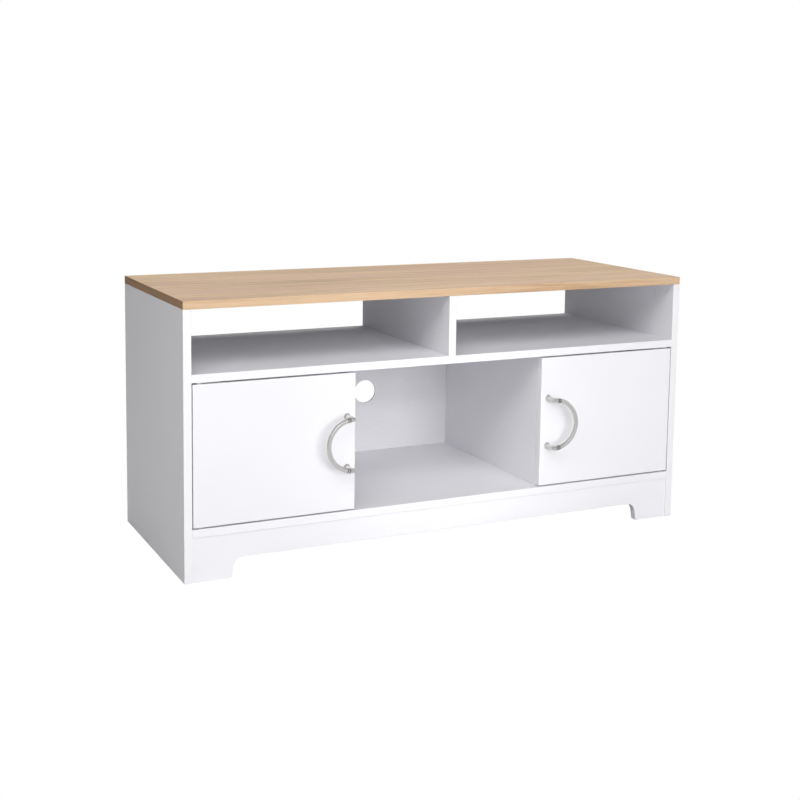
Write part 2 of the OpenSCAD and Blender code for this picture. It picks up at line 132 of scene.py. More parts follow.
class Bench:
    """Builds the node tree of a material or of the surround."""

    def __init__(self, owner: Union[bpy.types.Material, bpy.types.World]) -> None:
        """Clears the owner's tree.

        Args:
            owner: The material or world whose nodes are built.
        """
        self.owner = owner
        owner.use_nodes = True
        self.tree = owner.node_tree
        self.tree.nodes.clear()

    def node(self, kind: str, settings: Optional[dict] = None,
             sockets: Optional[dict] = None) -> bpy.types.Node:
        """Adds a node.

        Args:
            kind: The node's type.
            settings: Its properties, set first. The key stops holds a colour ramp's stops.
            sockets: Values or links of its inputs, by name or by number.

        Returns:
            The new node.
        """
        node = self.tree.nodes.new(kind)
        for name, setting in (settings or {}).items():
            if name == "stops":
                self.set_stops(node.color_ramp, setting)
            else:
                setattr(node, name, setting)
        for name, value in (sockets or {}).items():
            if isinstance(value, Value):
                self.tree.links.new(value.socket, node.inputs[name])
            else:
                node.inputs[name].default_value = value
        return node

    @staticmethod
    def set_stops(ramp: bpy.types.ColorRamp, stops: Iterable[tuple[float, Colour]]) -> None:
        """Gives a colour ramp its stops.

        Args:
            ramp: The ramp, as new.
            stops: Each stop's position and colour, from left to right.
        """
        stops = list(stops)
        while len(ramp.elements) < len(stops):
            ramp.elements.new(0.5)
        for element, (position, colour) in zip(ramp.elements, stops):
            element.position = position
            element.color = (*colour, 1.0)

    def value(self, kind: str, settings: Optional[dict] = None, sockets: Optional[dict] = None,
              output: Union[int, str] = 0) -> Value:
        """Adds a node and wraps one of its outputs."""
        return Value(self, self.node(kind, settings, sockets).outputs[output])

    def place(self, scale: Point = (1.0, 1.0, 1.0), turn: Point = (0.0, 0.0, 0.0)) -> Value:
        """The point on the piece, squeezed and turned (in radians) about X, Y and Z for a pattern."""
        point = self.value("ShaderNodeTexCoord", output="Object")
        return self.value("ShaderNodeMapping", None, {"Vector": point, "Scale": scale, "Rotation": turn})

    def noise(self, vector: Value, scale: float, detail: float = 3.0, roughness: float = 0.5,
              bend: float = 0.0) -> Value:
        """Cloudy noise from 0 to 1.

        Args:
            vector: Where the pattern is read.
            scale: Features for each metre.
            detail: Octaves.
            roughness: Weight of the finer octaves.
            bend: How far the pattern folds over itself.

        Returns:
            The noise value.
        """
        sockets = {"Vector": vector, "Scale": scale, "Detail": detail, "Roughness": roughness,
                   "Distortion": bend}
        return self.value("ShaderNodeTexNoise", None, sockets)

    def cells(self, vector: Value, scale: float, output: str = "Distance") -> Value:
        """Voronoi cells per metre: the distance to a cell's middle, or the cell's own Color."""
        return self.value("ShaderNodeTexVoronoi", None, {"Vector": vector, "Scale": scale}, output)

    def ramp(self, value: Value, stops: Iterable[tuple[float, Colour]]) -> Value:
        """Turns a value into a colour by a ramp of stops."""
        return self.value("ShaderNodeValToRGB", {"stops": stops}, {"Fac": value})

    def spread(self, value: Value, low: float, high: float, to_low: float = 0.0,
               to_high: float = 1.0) -> Value:
        """Stretches the range from low to high, and holds the value at the ends."""
        sockets = {0: value, 1: low, 2: high, 3: to_low, 4: to_high}
        return self.value("ShaderNodeMapRange", {"clamp": True}, sockets)

    def blend(self, factor: Operand, first: Union[Value, Colour], second: Union[Value, Colour],
              how: str = "MIX") -> Value:
        """Mixes two colours.

        Args:
            factor: How much of the second colour.
            first: The first colour.
            second: The second colour.
            how: The blend type.

        Returns:
            The mixed colour.
        """
        colours = [c if isinstance(c, Value) else (*c, 1.0) for c in (first, second)]
        settings = {"data_type": "RGBA", "blend_type": how, "clamp_result": True}
        return self.value("ShaderNodeMix", settings, {0: factor, 6: colours[0], 7: colours[1]}, 2)

    def bump(self, height: Value, depth: float, strength: float = 1.0) -> Value:
        """A normal bumped by a height from 0 to 1, where 1 is worth the depth in metres."""
        sockets = {"Strength": strength, "Distance": depth, "Height": height}
        return self.value("ShaderNodeBump", None, sockets)

    def finish(self, sockets: dict) -> bpy.types.Material:
        """Closes the material with a Principled shader that has these values and links.

        Args:
            sockets: Values and links of the shader's inputs, by name.

        Returns:
            The finished material.
        """
        shader = self.value("ShaderNodeBsdfPrincipled", None, sockets)
        self.node("ShaderNodeOutputMaterial", None, {"Surface": shader})
        return self.owner


# ---------------------------------------------------------------------------------------------------
# Finishes
# ---------------------------------------------------------------------------------------------------


def shade(colour: Colour, factor: float) -> Colour:
    """Makes a colour lighter or darker by a factor."""
    return tuple(min(1.0, part * factor) for part in colour)


@dataclass(frozen=True)
class Finish:
    """A surface finish. Its material is built once and shared.

    Attributes:
        name: The material's name.
    """

    name: str

    def material(self) -> bpy.types.Material:
        """The finish's material, made on first use."""
        return bpy.data.materials.get(self.name) or self.make()

    def bench(self) -> Bench:
        """A bench for the finish's new material."""
        return Bench(bpy.data.materials.new(self.name))

    def make(self) -> bpy.types.Material:
        """Builds the material."""
        raise NotImplementedError


@dataclass(frozen=True)
class OakFoil(Finish):
    """Matt oak-grain foil with its grain along X.

    Attributes:
        pale: Colour of the early wood.
        tan: Colour of the late wood.
        rose: Colour of the pinkish bands.
        pore: Colour of the short pores.
        roughness: Middle roughness.
    """

    pale: Colour = (0.82, 0.612, 0.424)
    tan: Colour = (0.555, 0.385, 0.25)
    rose: Colour = (0.79, 0.555, 0.43)
    pore: Colour = (0.33, 0.22, 0.14)
    roughness: float = 0.5

    def make(self) -> bpy.types.Material:
        """Builds bands, growth lines, fibres and pores, all drawn out along X.

        Returns:
            The finished material.
        """
        bench = self.bench()
        drift = bench.noise(bench.place((1.1, 5.0, 5.0)), 1.6, 2.0)
        bands = bench.noise(bench.place((0.8, 11.0, 11.0)), 2.1, 4.0, 0.55, 0.35)
        flames = bench.value(
            "ShaderNodeTexWave",
            {"wave_type": "BANDS", "bands_direction": "Y", "wave_profile": "SIN"},
            {"Vector": bench.place((0.35, 1.0, 1.0)), "Scale": 13.0, "Distortion": 7.0, "Detail": 3.0,
             "Detail Scale": 0.9, "Detail Roughness": 0.55})
        fibres = bench.noise(bench.place((1.0, 42.0, 42.0)), 9.0, 5.0, 0.62)
        dashes = bench.noise(bench.place((1.0, 38.0, 38.0)), 26.0, 2.0, 0.5)
        pores = bench.spread(dashes, 0.61, 0.70)
        growth = 0.44 * bands + 0.10 * flames + 0.30 * fibres + 0.16 * drift
        wood = bench.ramp(growth, [(0.36, self.tan), (0.46, shade(self.pale, 0.88)), (0.54, self.pale),
                                   (0.66, shade(self.pale, 1.1))])
        blush = bench.noise(bench.place((0.9, 7.0, 7.0), (0.0, 0.0, 0.02)), 2.6, 3.0, 0.5)
        wood = bench.blend(bench.spread(blush, 0.46, 0.60, 0.0, 0.75), wood, self.rose)
        streaks = bench.noise(bench.place((0.7, 24.0, 24.0)), 3.4, 4.0, 0.6)
        wood = bench.blend(bench.spread(streaks, 0.54, 0.68, 0.0, 0.55), wood, shade(self.tan, 0.95))
        wood = bench.blend(0.5 * pores, wood, self.pore)
        rough = self.roughness + 0.10 * fibres + 0.08 * pores
        relief = bench.bump(0.6 * fibres + 0.4 * (1.0 - pores), 0.00006, 0.55)
        return bench.finish({"Base Color": wood, "Roughness": rough, "Normal": relief,
                             "Specular IOR Level": 0.42})


@dataclass(frozen=True)
class Melamine(Finish):
    """White melamine with a fine pearl and faint handling marks.

    Attributes:
        white: Its colour.
        roughness: Middle roughness.
        pearl: Depth of the pearl, in metres.
    """

    white: Colour = (0.86, 0.855, 0.885)
    roughness: float = 0.42
    pearl: float = 0.000025

    def make(self) -> bpy.types.Material:
        """Builds the pearl, slow tone changes and rubbed patches.

        Returns:
            The finished material.
        """
        bench = self.bench()
        point = bench.place()
        pearl = bench.noise(point, 900.0, 3.0, 0.6)
        cloud = bench.noise(point, 2.2, 3.0, 0.55)
        rubbed = bench.spread(bench.noise(point, 6.5, 4.0, 0.6, 0.4), 0.52, 0.74)
        specks = bench.spread(bench.noise(point, 260.0, 2.0), 0.70, 0.80)
        tone = bench.blend(bench.spread(cloud, 0.35, 0.65), shade(self.white, 0.975), self.white)
        tone = bench.blend(0.10 * specks, tone, shade(self.white, 0.82))
        rough = self.roughness + 0.05 * pearl - 0.07 * rubbed + 0.03 * cloud
        relief = bench.bump(pearl, self.pearl, 0.45)
        return bench.finish({"Base Color": tone, "Roughness": rough, "Normal": relief,
                             "Specular IOR Level": 0.4})


@dataclass(frozen=True)
class EdgeStrip(Finish):
    """Glued plastic edge strip, a little glossier than the board's faces.

    Attributes:
        tint: Its colour.
        roughness: Middle roughness.
    """

    tint: Colour = (0.87, 0.865, 0.89)
    roughness: float = 0.33

    def make(self) -> bpy.types.Material:
        """Builds the rollers' long faint ripples and small scuffs.

        Returns:
            The finished material.
        """
        bench = self.bench()
        ripple = bench.noise(bench.place((30.0, 30.0, 30.0)), 1.0, 2.0)
        scuffs = bench.spread(bench.noise(bench.place(), 70.0, 5.0, 0.65), 0.62, 0.72)
        grain = bench.noise(bench.place(), 1400.0, 2.0)
        tone = bench.blend(0.22 * scuffs, bench.blend(ripple, shade(self.tint, 0.985), self.tint),
                           shade(self.tint, 0.86))
        rough = self.roughness + 0.12 * scuffs + 0.05 * grain
        relief = bench.bump(0.7 * ripple + 0.3 * grain, 0.00003, 0.4)
        return bench.finish({"Base Color": tone, "Roughness": rough, "Normal": relief})


@dataclass(frozen=True)
class OakStrip(Finish):
    """Oak-print edge strip: straight fibres along X, or along Y at the board's ends.

    Attributes:
        pale: Colour of the early wood.
        tan: Colour of the late wood.
        across: True where the strip runs along Y.
    """

    pale: Colour = (0.65, 0.455, 0.29)
    tan: Colour = (0.50, 0.315, 0.18)
    across: bool = False

    def make(self) -> bpy.types.Material:
        """Builds fibres that are drawn out along the strip.

        Returns:
            The finished material.
        """
        bench = self.bench()
        squeeze = (60.0, 1.0, 60.0) if self.across else (1.0, 60.0, 60.0)
        wide = (22.0, 0.5, 22.0) if self.across else (0.5, 22.0, 22.0)
        fibres = bench.noise(bench.place(squeeze), 8.0, 5.0, 0.6)
        bands = bench.noise(bench.place(wide), 3.0, 3.0, 0.5, 0.2)
        pores = bench.spread(bench.noise(bench.place(squeeze), 26.0, 2.0), 0.62, 0.72)
        growth = 0.55 * bands + 0.45 * fibres
        wood = bench.ramp(growth, [(0.38, self.tan), (0.5, self.pale), (0.62, shade(self.pale, 1.1))])
        wood = bench.blend(0.35 * pores, wood, shade(self.tan, 0.7))
        rough = 0.44 + 0.1 * fibres
        relief = bench.bump(fibres, 0.00004, 0.4)
        return bench.finish({"Base Color": wood, "Roughness": rough, "Normal": relief})


@dataclass(frozen=True)
class Chipboard(Finish):
    """Raw particle board, seen in drilled holes.

    Attributes:
        pale: Colour of the chips.
        dark: Colour of the gaps between them.
    """

    pale: Colour = (0.60, 0.47, 0.31)
    dark: Colour = (0.30, 0.20, 0.11)

    def make(self) -> bpy.types.Material:
        """Builds pressed chips of mixed tone.

        Returns:
            The finished material.
        """
        bench = self.bench()
        chips = bench.cells(bench.place((1.0, 1.0, 2.4)), 520.0, "Color")
        crumbs = bench.noise(bench.place(), 1500.0, 3.0, 0.7)
        tone = bench.ramp(crumbs, [(0.3, self.dark), (0.6, self.pale), (0.85, shade(self.pale, 1.2))])
        tone = bench.blend(0.25, tone, chips, "SOFT_LIGHT")
        return bench.finish({"Base Color": tone, "Roughness": 0.75 + 0.2 * crumbs,
                             "Normal": bench.bump(crumbs, 0.0003, 0.8)})


@dataclass(frozen=True)
class Hardboard(Finish):
    """Thin pressed fibre board: raw brown, or lacquered white on its face.

    Attributes:
        tone: Its main colour.
        fibre: Colour of the darker fibres.
        depth: Depth of its relief, in metres.
        roughness: Middle roughness.
    """

    tone: Colour = (0.36, 0.23, 0.13)
    fibre: Colour = (0.20, 0.12, 0.065)
    depth: float = 0.00025
    roughness: float = 0.72

    def make(self) -> bpy.types.Material:
        """Builds matted fibres and the screen's mesh print.

        Returns:
            The finished material.
        """
        bench = self.bench()
        felt = bench.noise(bench.place(), 420.0, 5.0, 0.7, 1.2)
        cloud = bench.noise(bench.place(), 7.0, 3.0)
        screen = bench.cells(bench.place(), 620.0)
        tone = bench.ramp(0.7 * felt + 0.3 * cloud, [(0.32, self.fibre), (0.55, self.tone),
                                                     (0.78, shade(self.tone, 1.18))])
        rough = self.roughness + 0.12 * felt
        relief = bench.bump(0.6 * felt + 0.4 * screen, self.depth, 0.6)
        return bench.finish({"Base Color": tone, "Roughness": rough, "Normal": relief})


@dataclass(frozen=True)
class PlatedMetal(Finish):
    """Plated or bright metal with fine polishing lines.

    Attributes:
        tint: Its colour.
        roughness: Middle roughness.
        grain: How much the polishing lines show.
        squeeze: The lines' stretch along X, Y and Z.
        stain: How much darker the worn patches are.
    """

    tint: Colour = (0.62, 0.61, 0.59)
    roughness: float = 0.24
    grain: float = 0.06
    squeeze: Point = (1.0, 1.0, 1.0)
    stain: float = 0.12

    def make(self) -> bpy.types.Material:
        """Builds polishing lines, faint stains and a spangle.

        Returns:
            The finished material.
        """
        bench = self.bench()
        lines = bench.noise(bench.place(self.squeeze), 700.0, 3.0, 0.6)
        haze = bench.noise(bench.place(), 55.0, 3.0, 0.6)
        worn = bench.spread(bench.noise(bench.place(), 120.0, 4.0, 0.65, 0.5), 0.52, 0.72)
        tone = bench.blend(self.stain * haze, self.tint, shade(self.tint, 0.55))
        tone = bench.blend(0.3 * worn, tone, shade(self.tint, 1.12))
        rough = self.roughness + self.grain * lines + 0.08 * haze - 0.05 * worn
        relief = bench.bump(lines, 0.00002, 0.35)
        return bench.finish({"Base Color": tone, "Metallic": 1.0, "Roughness": rough, "Normal": relief})


@dataclass(frozen=True)
class Moulded(Finish):
    """Moulded plastic or rubber with a fine spark texture.

    Attributes:
        tint: Its colour.
        roughness: Middle roughness.
        spark: Depth of the texture, in metres.
    """

    tint: Colour = (0.80, 0.80, 0.81)
    roughness: float = 0.45
    spark: float = 0.00004

    def make(self) -> bpy.types.Material:
        """Builds the spark texture and slight flow marks.

        Returns:
            The finished material.
        """
        bench = self.bench()
        spark = bench.noise(bench.place(), 1300.0, 3.0, 0.6)
        flow = bench.noise(bench.place((1.0, 1.0, 3.0)), 60.0, 2.0, 0.5, 0.6)
        tone = bench.blend(0.5 * flow, self.tint, shade(self.tint, 0.92))
        rough = self.roughness + 0.1 * spark + 0.05 * flow
        return bench.finish({"Base Color": tone, "Roughness": rough,
                             "Normal": bench.bump(spark, self.spark, 0.5)})


@dataclass(frozen=True)
class Beech(Finish):
    """Bare beech, as in turned dowels.

    Attributes:
        tint: Its colour.
    """

    tint: Colour = (0.62, 0.44, 0.26)

    def make(self) -> bpy.types.Material:
        """Builds short flecks and soft bands.

        Returns:
            The finished material.
        """
        bench = self.bench()
        flecks = bench.spread(bench.noise(bench.place((1.0, 1.0, 0.4)), 900.0, 2.0), 0.58, 0.7)
        bands = bench.noise(bench.place(), 130.0, 3.0)
        tone = bench.blend(bands, shade(self.tint, 0.9), shade(self.tint, 1.1))
        tone = bench.blend(0.5 * flecks, tone, shade(self.tint, 0.6))
        return bench.finish({"Base Color": tone, "Roughness": 0.6 + 0.15 * bands,
                             "Normal": bench.bump(flecks, 0.0001, 0.5)})


OAK = OakFoil("oak_foil")
OAK_STRIP = OakStrip("oak_strip")
OAK_END_STRIP = OakStrip("oak_end_strip", (0.37, 0.225, 0.13), (0.26, 0.15, 0.085), True)
WHITE = Melamine("white_melamine")
WHITE_STRIP = EdgeStrip("white_edge_strip")
RAW_BOARD = Chipboard("raw_chipboard")
BACK_WHITE = Hardboard("white_hardboard", (0.74, 0.735, 0.76), (0.68, 0.675, 0.705), 0.00004, 0.5)
BACK_BROWN = Hardboard("brown_hardboard")
NICKEL = PlatedMetal("satin_nickel", (0.46, 0.458, 0.452), 0.16, 0.06)
# Painted shade: near-black nickel for the groove faces beside the handle rings, standing in for the shade
# in those recesses.
NICKEL_GROOVE_SHADE = PlatedMetal("satin_nickel_painted_groove_shade", (0.11, 0.108, 0.105), 0.35, 0.1)
ZINC = PlatedMetal("bright_zinc", (0.60, 0.61, 0.61), 0.30, 0.10, (1.0, 1.0, 6.0), 0.2)
HINGE_STEEL = PlatedMetal("hinge_steel", (0.55, 0.56, 0.57), 0.34, 0.12, (0.2, 3.0, 3.0), 0.25)
MAGNET = PlatedMetal("magnet_poles", (0.20, 0.20, 0.21), 0.42, 0.12)
CAP_PLASTIC = Moulded("cap_plastic", (0.82, 0.82, 0.84))
NYLON = Moulded("washer_nylon", (0.74, 0.72, 0.64), 0.5)
CLEAR_PAD = Moulded("bumper_pad", (0.62, 0.65, 0.66), 0.2, 0.00001)
BARE_BEECH = Beech("bare_beech")


# ---------------------------------------------------------------------------------------------------
# Mesh work
# ---------------------------------------------------------------------------------------------------


def to_object(bm: bmesh.types.BMesh, name: str, materials: Iterable[bpy.types.Material],
              smooth: bool = True) -> bpy.types.Object:
    """Turns a bmesh into an object at the origin.

    Args:
        bm: The mesh, which is freed.
        name: The object's name.
        materials: One material for each slot.
        smooth: True for smooth shading, with sharp edges kept by the mesh's own bevels.

    Returns:
        The new object.
    """
    mesh = bpy.data.meshes.new(name)
    bm.to_mesh(mesh)
    bm.free()
    for material in materials:
        mesh.materials.append(material)
    mesh.polygons.foreach_set("use_smooth", [smooth] * len(mesh.polygons))
    piece = bpy.data.objects.new(name, mesh)
    bpy.context.scene.collection.objects.link(piece)
    return piece


def corners(node: str) -> tuple[Vector, Vector]:
    """The lowest and highest corner of a CAD node."""
    low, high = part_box(node)
    return Vector(low), Vector(high)


def flatten_faces(piece: bpy.types.Object) -> None:
    """Shades faces that look straight along an axis flat, and the rounded ones smooth."""
    for polygon in piece.data.polygons:
        polygon.use_smooth = max(abs(part) for part in polygon.normal) < SQUARE_ON


def box_mesh(low: Vector, high: Vector) -> bmesh.types.BMesh:
    """A box between two corners.

    Args:
        low: Its lowest corner.
        high: Its highest corner.

    Returns:
        The box.
    """
    bm = bmesh.new()
    bmesh.ops.create_cube(bm, size=1.0)
    bmesh.ops.scale(bm, vec=high - low, verts=bm.verts)
    bmesh.ops.translate(bm, vec=(low + high) / 2, verts=bm.verts)
    return bm


def soften(bm: bmesh.types.BMesh, edges: Iterable[bmesh.types.BMEdge], radius: float,
           segments: int = 3) -> None:
    """Rounds edges over, with that many faces across the rounding."""
    bmesh.ops.bevel(bm, geom=list(edges), offset=radius, offset_type="OFFSET", segments=segments,
                    profile=0.5, affect="EDGES", material=-1, clamp_overlap=True)


def sharp_edges(bm: bmesh.types.BMesh, angle: float = math.radians(30.0)) -> list[bmesh.types.BMEdge]:
    """The edges whose faces meet at more than an angle."""
    return [edge for edge in bm.edges if len(edge.link_faces) == 2 and edge.calc_face_angle(0.0) > angle]


def only_verts(items: Iterable[bmesh.types.BMVert]) -> list[bmesh.types.BMVert]:
    """The vertices among an operator's results."""
    return [item for item in items if isinstance(item, bmesh.types.BMVert)]


def merge_into(bm: bmesh.types.BMesh, other: bmesh.types.BMesh) -> None:
    """Adds one mesh to another.

    Args:
        bm: The mesh that grows.
        other: The mesh that is added, and freed.
    """
    carrier = bpy.data.meshes.new("carrier")
    other.to_mesh(carrier)
    other.free()
    bm.from_mesh(carrier)
    bpy.data.meshes.remove(carrier)


def lathe(profile: Iterable[tuple[float, float]], steps: int = 32) -> bmesh.types.BMesh:
    """Turns a profile about Z into a closed solid.

    Args:
        profile: Radius and height of each point, from the bottom of the axis to its top.
        steps: Facets round the turn.

    Returns:
        The turned solid.
    """
    bm = bmesh.new()
    verts = [bm.verts.new((radius, 0.0, height)) for radius, height in profile]
    edges = [bm.edges.new(pair) for pair in zip(verts, verts[1:])]
    bmesh.ops.spin(bm, geom=verts + edges, cent=(0.0, 0.0, 0.0), axis=(0.0, 0.0, 1.0),
                   angle=math.tau, steps=steps, use_merge=True)
    bmesh.ops.remove_doubles(bm, verts=bm.verts, dist=1e-7)
    bmesh.ops.recalc_face_normals(bm, faces=bm.faces)
    return bm


def drill_mesh(at: Vector, along: Vector, radius: float, length: float,
               steps: int = 32) -> bmesh.types.BMesh:
    """A round cutter.

    Args:
        at: The middle of its start.
        along: Which way it runs, as a unit vector.
        radius: Its radius.
        length: Its length.
        steps: Facets round it.

    Returns:
        The cutter.
    """
    bm = bmesh.new()
    bmesh.ops.create_cone(bm, cap_ends=True, segments=steps, radius1=radius, radius2=radius,
                          depth=length)
    bmesh.ops.translate(bm, vec=(0.0, 0.0, length / 2), verts=bm.verts)
    turn = Vector((0.0, 0.0, 1.0)).rotation_difference(along).to_matrix().to_4x4()
    bmesh.ops.transform(bm, matrix=Matrix.Translation(at) @ turn, verts=bm.verts)
    return bm


def carve(piece: bpy.types.Object, cutters: list[bmesh.types.BMesh], inside: Finish) -> None:
    """Cuts holes into a piece and gives their walls a finish.

    Args:
        piece: The piece.
        cutters: The shapes to cut away, which are freed.
        inside: The finish of the cut walls.
    """
    if not cutters:
        return
    joined = bmesh.new()
    for cutter in cutters:
        merge_into(joined, cutter)
    tool = to_object(joined, piece.name + "_cutter", [inside.material()], smooth=False)
    modifier = piece.modifiers.new("holes", "BOOLEAN")
    modifier.operation = "DIFFERENCE"
    modifier.solver = "EXACT"
    modifier.material_mode = "TRANSFER"
    modifier.object = tool
    bpy.context.view_layer.update()
    cut = bpy.data.meshes.new_from_object(piece.evaluated_get(bpy.context.evaluated_depsgraph_get()))
    piece.modifiers.clear()
    piece.data = cut
    bpy.data.objects.remove(tool)


@dataclass(frozen=True)
class Island:
    """One separate solid of a CAD node, such as one screw of a group.

    Attributes:
        low: Its lowest corner.
        high: Its highest corner.
        axis: Its long direction.
        head_up: True if its wider end is at the high end of its axis.
    """

    low: Vector
    high: Vector
    axis: Axis
    head_up: bool

    @property
    def middle(self) -> Vector:
        """The middle of its box."""
        return (self.low + self.high) / 2

    @property
    def length(self) -> float:
        """Its length along its axis."""
        return self.high[self.axis.value] - self.low[self.axis.value]

    @property
    def head_point(self) -> Vector:
        """Finds the middle of its wide end.

        Returns:
            The point.
        """
        point = self.middle
        point[self.axis.value] = (self.high if self.head_up else self.low)[self.axis.value]
        return point

    @property
    def inward(self) -> Vector:
        """Finds which way its length runs from its wide end.

        Returns:
            The unit vector.
        """
        way = Vector((0.0, 0.0, 0.0))
        way[self.axis.value] = -1.0 if self.head_up else 1.0
        return way


@lru_cache(maxsize=None)
def islands(node: str) -> list[Island]:
    """Splits a CAD node into its separate solids.

    Args:
        node: The node's name.

    Returns:
        One island for each solid.
    """
    bm = bmesh.new()
    bm.from_mesh(frame["nodes"][node].data)
    bmesh.ops.remove_doubles(bm, verts=bm.verts, dist=1e-6)
    bm.verts.ensure_lookup_table()
    seen: set[int] = set()
    found = []
    for start in bm.verts:
        if start.index in seen:
            continue
        seen.add(start.index)
        group, queue = [], [start]
        while queue:
            vert = queue.pop()
            group.append(vert.co.copy())
            for edge in vert.link_edges:
                other = edge.other_vert(vert)
                if other.index not in seen:
                    seen.add(other.index)
                    queue.append(other)
        found.append(describe_island(group))
    bm.free()
    return found


def describe_island(points: list[Vector]) -> Island:
    """Measures one solid.

    Args:
        points: Its vertices.

    Returns:
        The island.
    """
    low = Vector(min(point[i] for point in points) for i in range(3))
    high = Vector(max(point[i] for point in points) for i in range(3))
    size = high - low
    axis = max(Axis, key=lambda way: size[way.value])
    middle = (low + high) / 2

    def reach(end: float) -> float:
        """How far the solid stands out from its axis at one end.

        Args:
            end: The place along the axis.

        Returns:
            The distance.
        """
        near = [point for point in points if abs(point[axis.value] - end) < 0.2 * MM]
        flat = [way.value for way in Axis if way is not axis]
        return max(max(abs(point[i] - middle[i]) for i in flat) for point in near)

    return Island(low, high, axis, reach(high[axis.value]) > reach(low[axis.value]))


def declare(piece: bpy.types.Object, body: str, slot: str, *nodes: str) -> bpy.types.Object:
    """Parents a piece to the body that it rides on and hides the nodes that it stands for.

    Args:
        piece: The piece.
        body: The CAD body that it rides on.
        slot: Its material slot in the record; not used.
        nodes: The CAD nodes that it replaces.

    Returns:
        The same piece.
    """
    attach(piece, body)
    if nodes:
        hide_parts(*nodes)
    LOG.info("%s: %d faces on %s", piece.name, len(piece.data.polygons), body)
    return piece


# ---------------------------------------------------------------------------------------------------
# Boards
# ---------------------------------------------------------------------------------------------------


@dataclass(frozen=True)
class Drilling:
    """How boards are drilled for the fittings that are sunk into them.

    Attributes:
        slack: How much larger a hole is than its fitting.
        over: How far a cutter runs past a face.
    """

    slack: float = 0.12 * MM
    over: float = 1.0 * MM

    def cutters(self, low: Vector, high: Vector, fittings: Iterable[str]) -> list[bmesh.types.BMesh]:
        """Cutters for the fittings whose middles lie in a board.

        Args:
            low: The board's lowest corner.
            high: The board's highest corner.
            fittings: CAD nodes of the fittings to look at.

        Returns:
            One cutter for each fitting.
        """
        near = 0.1 * MM
        return [self._cutter(island, low, high) for fitting in fittings for island in islands(fitting)
                if all(low[i] - near <= island.middle[i] <= high[i] + near for i in range(3))]

    def _cutter(self, island: Island, low: Vector, high: Vector) -> bmesh.types.BMesh:
        """Makes one cutter, which opens at the board's nearer face.

        Args:
            island: The fitting.
            low: The board's lowest corner.
            high: The board's highest corner.

        Returns:
            The cutter.
        """
        size = high - low
        way = min(Axis, key=lambda axis: size[axis.value]).value
        radius = max(island.high[i] - island.low[i] for i in range(3) if i != way) / 2 + self.slack
        near_high = high[way] - island.high[way] < island.low[way] - low[way]
        start = island.middle.copy()
        start[way] = island.low[way] - self.slack if near_high else island.high[way] + self.slack
        along = Vector((0.0, 0.0, 0.0))
        along[way] = 1.0 if near_high else -1.0
        length = island.high[way] - island.low[way] + self.slack + self.over
        return drill_mesh(start, along, radius, length)


@dataclass
class Board:
    """A flat board with softened edges, edge strips and drilled holes.

    Attributes:
        node: The CAD node that it stands for.
        body: The body that it rides on.
        slot: Its material slot.
        face: Finish of its two faces.
        strip: Finish of its edges.
        end_strip: Finish of its two short ends, if that differs.
        under: Finish of its lower face, if that differs.
        ease: Radius of its edges.
        strip_t: Thickness of the edge strip.
        seam: Depth of the joint between a face and its strip.
        fittings: CAD nodes of the fittings that are sunk into it.
        drilling: How it is drilled for them.
    """

    node: str
    body: str = "root"
    slot: str = "white_board"
    face: Finish = WHITE
    strip: Finish = WHITE_STRIP
    end_strip: Optional[Finish] = None
    under: Optional[Finish] = None
    ease: float = 0.55 * MM
    strip_t: float = 0.6 * MM
    seam: float = 0.04 * MM
    fittings: tuple[str, ...] = ()
    drilling: Drilling = Drilling()

    def __post_init__(self) -> None:
        """Reads the board's box and finds the direction of its thickness."""
        self.low, self.high = corners(self.node)
        size = self.high - self.low
        self.thin = min(Axis, key=lambda way: size[way.value])

    def outline(self) -> bmesh.types.BMesh:
        """The board's sharp shape."""
        return box_mesh(self.low, self.high)

    def is_face(self, face: bmesh.types.BMFace) -> bool:
        """True for the two broad faces."""
        return abs(face.normal[self.thin.value]) > SQUARE_ON

    def build(self) -> bpy.types.Object:
        """Shapes the board.

        Returns:
            The finished board.
        """
        bm = self.outline()
        soften(bm, sharp_edges(bm), self.ease)
        bm.normal_update()
        largest = max(face.calc_area() for face in bm.faces if self.is_face(face))
        broad = [face for face in bm.faces if self.is_face(face) and face.calc_area() > 0.5 * largest]
        parts = [self.face, self.strip, self.end_strip or self.strip, self.under or self.face]
        palette = list(dict.fromkeys(parts)) + [RAW_BOARD]
        face_slot, strip_slot, end_slot, under_slot = (palette.index(finish) for finish in parts)
        for face in bm.faces:
            face.material_index = end_slot if abs(face.normal.x) > FACING else strip_slot
        bmesh.ops.inset_region(bm, faces=broad, thickness=self.strip_t, depth=-self.seam,
                               use_even_offset=True)
        for face in broad:
            face.material_index = under_slot if face.normal.z < -FACING else face_slot
        piece = to_object(bm, self.node + "_board", [finish.material() for finish in palette])
        carve(piece, self.drilling.cutters(self.low, self.high, self.fittings), RAW_BOARD)
        flatten_faces(piece)
        return declare(piece, self.body, self.slot, self.node)


